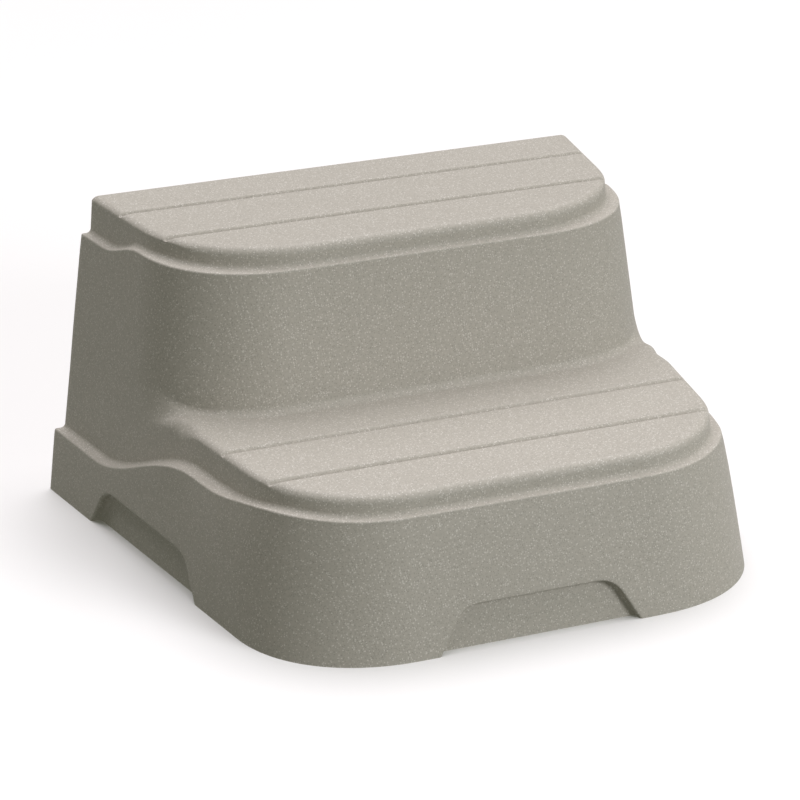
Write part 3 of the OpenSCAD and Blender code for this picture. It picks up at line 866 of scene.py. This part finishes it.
def bolt_tree():
    """A washer, a chamfered hexagon head and a shank at each point of the incoming mesh. The point is where
    the washer meets the boss."""
    tree = bpy.data.node_groups.new("boss_fasteners", "GeometryNodeTree")
    tree.interface.new_socket("Geometry", in_out="INPUT", socket_type="NodeSocketGeometry")
    tree.interface.new_socket("Geometry", in_out="OUTPUT", socket_type="NodeSocketGeometry")
    for name in BOLT_SIZES:
        tree.interface.new_socket(name, in_out="INPUT", socket_type="NodeSocketFloat")
    size = node(tree, "NodeGroupInput").outputs

    # the washer is a rounded section swept round a circle
    band = maths(tree, "SUBTRACT", size["Washer Radius"], size["Washer Hole"])
    middle = maths(tree, "MULTIPLY", maths(tree, "ADD", size["Washer Radius"], size["Washer Hole"]), 0.5)
    inputs = {"Resolution": 48, "Radius": middle}
    circle = node(tree, "GeometryNodeCurvePrimitiveCircle", inputs).outputs["Curve"]
    inputs = {"Width": band, "Height": size["Washer Thickness"]}
    section = node(tree, "GeometryNodeCurvePrimitiveQuadrilateral", inputs).outputs["Curve"]
    inputs = {"Curve": section, "Radius": size["Washer Edge"], "Count": 3}
    section = node(tree, "GeometryNodeFilletCurve", inputs, mode="POLY").outputs["Curve"]
    inputs = {"Curve": circle, "Profile Curve": section}
    washer = node(tree, "GeometryNodeCurveToMesh", inputs).outputs["Mesh"]
    washer = lifted(tree, washer, maths(tree, "MULTIPLY", size["Washer Thickness"], -0.5))

    # the head hangs under the washer, with its chamfer at the bottom
    block_height = maths(tree, "SUBTRACT", size["Head Height"], size["Head Chamfer"])
    inputs = {"Vertices": 6, "Radius": size["Head Radius"], "Depth": block_height}
    block = node(tree, "GeometryNodeMeshCylinder", inputs).outputs["Mesh"]
    block_middle = maths(tree, "MULTIPLY", block_height, -0.5)
    block = lifted(tree, block, maths(tree, "SUBTRACT", block_middle, size["Washer Thickness"]))
    narrow = maths(tree, "SUBTRACT", size["Head Radius"], size["Head Chamfer"])
    inputs = {"Vertices": 6, "Radius Bottom": narrow, "Radius Top": size["Head Radius"]}
    inputs["Depth"] = size["Head Chamfer"]
    chamfer = node(tree, "GeometryNodeMeshCone", inputs).outputs["Mesh"]
    head_end = maths(tree, "ADD", size["Washer Thickness"], size["Head Height"])
    chamfer = lifted(tree, chamfer, maths(tree, "MULTIPLY", head_end, -1.0))

    # the shank goes up through the washer and into the insert
    inputs = {"Vertices": 24, "Radius": size["Shank Radius"], "Depth": size["Shank Length"]}
    shank = node(tree, "GeometryNodeMeshCylinder", inputs).outputs["Mesh"]
    shank_middle = maths(tree, "MULTIPLY", size["Shank Length"], 0.5)
    shank = lifted(tree, shank, maths(tree, "SUBTRACT", shank_middle, size["Washer Thickness"]))

    bolt = tree.nodes.new("GeometryNodeJoinGeometry")
    for piece in (washer, block, chamfer, shank):
        tree.links.new(piece, bolt.inputs[0])
    inputs = {"Points": size["Geometry"], "Instance": bolt.outputs[0]}
    all_bolts = node(tree, "GeometryNodeInstanceOnPoints", inputs).outputs["Instances"]
    real = node(tree, "GeometryNodeRealizeInstances", {"Geometry": all_bolts}).outputs[0]
    inputs = {"Geometry": real, "Material": stainless_steel}
    finished = node(tree, "GeometryNodeSetMaterial", inputs).outputs[0]
    node(tree, "NodeGroupOutput", {"Geometry": finished})
    return tree


bolt_points = [
    (x, y + REAR_Y, tread - WALL - BOARD_THICKNESS)
    for x in (-BOSS_X, BOSS_X)
    for y, tread in BOSS_PLACES
]
bolt_mesh = bpy.data.meshes.new("boss_fasteners")
bolt_mesh.from_pydata(bolt_points, [], [])
bolts = bpy.data.objects.new("boss_fasteners", bolt_mesh)
bpy.context.scene.collection.objects.link(bolts)
maker = bolts.modifiers.new("boss_fasteners", "NODES")
maker.node_group = bolt_tree()
for item in maker.node_group.interface.items_tree:
    if item.name in BOLT_SIZES:
        maker[item.identifier] = BOLT_SIZES[item.name]
bolts.data = bpy.data.meshes.new_from_object(bolts.evaluated_get(bpy.context.evaluated_depsgraph_get()))
bolts.modifiers.clear()
bolts.data.shade_smooth()
bolts.data.set_sharp_from_angle(angle=np.radians(32))
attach(bolts, "root")
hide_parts("boss_bolts", "boss_washers")


# ---- Screws ----
# Flat-headed stainless screws that hold the tread boards and the rails to the stringers.
# They are driven until the heads are flush with the board.
dress(stainless_steel, "upper_board_screws", "lower_board_screws", "rail_screws")


# ---- Inserts ----
# Turned brass inserts, one in the bore of each boss, pressed in from below.
# They take the bolts, because a thread in the polyethylene itself would strip.
dress(drawn_metal("turned_brass", (0.45, 0.32, 0.12, 1), (0.70, 0.53, 0.24, 1), 0.25), "boss_inserts")


# ---- Stage: floor, lights and camera ----
# A plain pale floor that fills the view, a broad soft light overhead and a weaker one at the front right.
# The floor sends no diffuse light back to the steps, so that the walls keep their shading.
FLOOR_SIZE = 30.0


def pale_floor():
    material, tree, shader, place = finish_named("pale_floor", Roughness=0.9)
    tone = blended(tree, noise(tree, place, 1.5, 2.0), (0.88, 0.88, 0.88, 1), (0.90, 0.90, 0.90, 1))
    tree.links.new(tone, shader.inputs["Base Color"])
    return material


floor_mesh = bpy.data.meshes.new("floor")
corners = [(x * FLOOR_SIZE / 2, y * FLOOR_SIZE / 2, 0) for x, y in ((-1, -1), (1, -1), (1, 1), (-1, 1))]
floor_mesh.from_pydata(corners, [], [(0, 1, 2, 3)])
floor = bpy.data.objects.new("floor", floor_mesh)
floor.data.materials.append(pale_floor())
bpy.context.scene.collection.objects.link(floor)
floor.visible_diffuse = False


def soft_light(name, kind, place, aim, colour, **settings):
    data = bpy.data.lights.new(name, kind)
    data.color = colour
    for setting, value in settings.items():
        setattr(data, setting, value)
    lamp = bpy.data.objects.new(name, data)
    lamp.location = place
    lamp.rotation_euler = (Vector(aim) - Vector(place)).to_track_quat("-Z", "Y").to_euler()
    bpy.context.scene.collection.objects.link(lamp)


soft_light(
    "overhead", "SUN", (0.4, 1.25, 4.0), (0, 0, 0), (1.0, 0.96, 1.0),
    energy=2.95, angle=np.radians(62)
)
soft_light(
    "front_right", "AREA", (2.4, -4.4, 1.9), (0, 0, 0.15), (0.98, 0.985, 1.0),
    shape="DISK", size=2.2, energy=132.0
)
world = bpy.data.worlds.new("studio")
world.use_nodes = True
world.node_tree.nodes["Background"].inputs["Color"].default_value = (0.97, 1.0, 0.84, 1)
world.node_tree.nodes["Background"].inputs["Strength"].default_value = 0.21
bpy.context.scene.world = world
bpy.context.scene.view_settings.view_transform = "Standard"

CAMERA_AZIMUTH = np.radians(-22.63)
CAMERA_ELEVATION = np.radians(22.14)
CAMERA_ROLL = np.radians(-0.227)
CAMERA_DISTANCE = 4.0
CAMERA_AIM = Vector((0.0124, 0.1356, 0.1227))
back = Vector((
    np.sin(CAMERA_AZIMUTH) * np.cos(CAMERA_ELEVATION),
    -np.cos(CAMERA_AZIMUTH) * np.cos(CAMERA_ELEVATION),
    np.sin(CAMERA_ELEVATION)
))
right = Vector((np.cos(CAMERA_AZIMUTH), np.sin(CAMERA_AZIMUTH), 0))
turned = right * np.cos(CAMERA_ROLL) + back.cross(right) * np.sin(CAMERA_ROLL)
axes = Matrix((turned, back.cross(turned), back)).transposed()
camera = bpy.data.objects.new("camera", bpy.data.cameras.new("camera"))
camera.data.sensor_width = 36.0
camera.data.lens = 144.0
camera.matrix_world = Matrix.Translation(CAMERA_AIM + back * CAMERA_DISTANCE) @ axes.to_4x4()
bpy.context.scene.collection.objects.link(camera)
bpy.context.scene.camera = camera
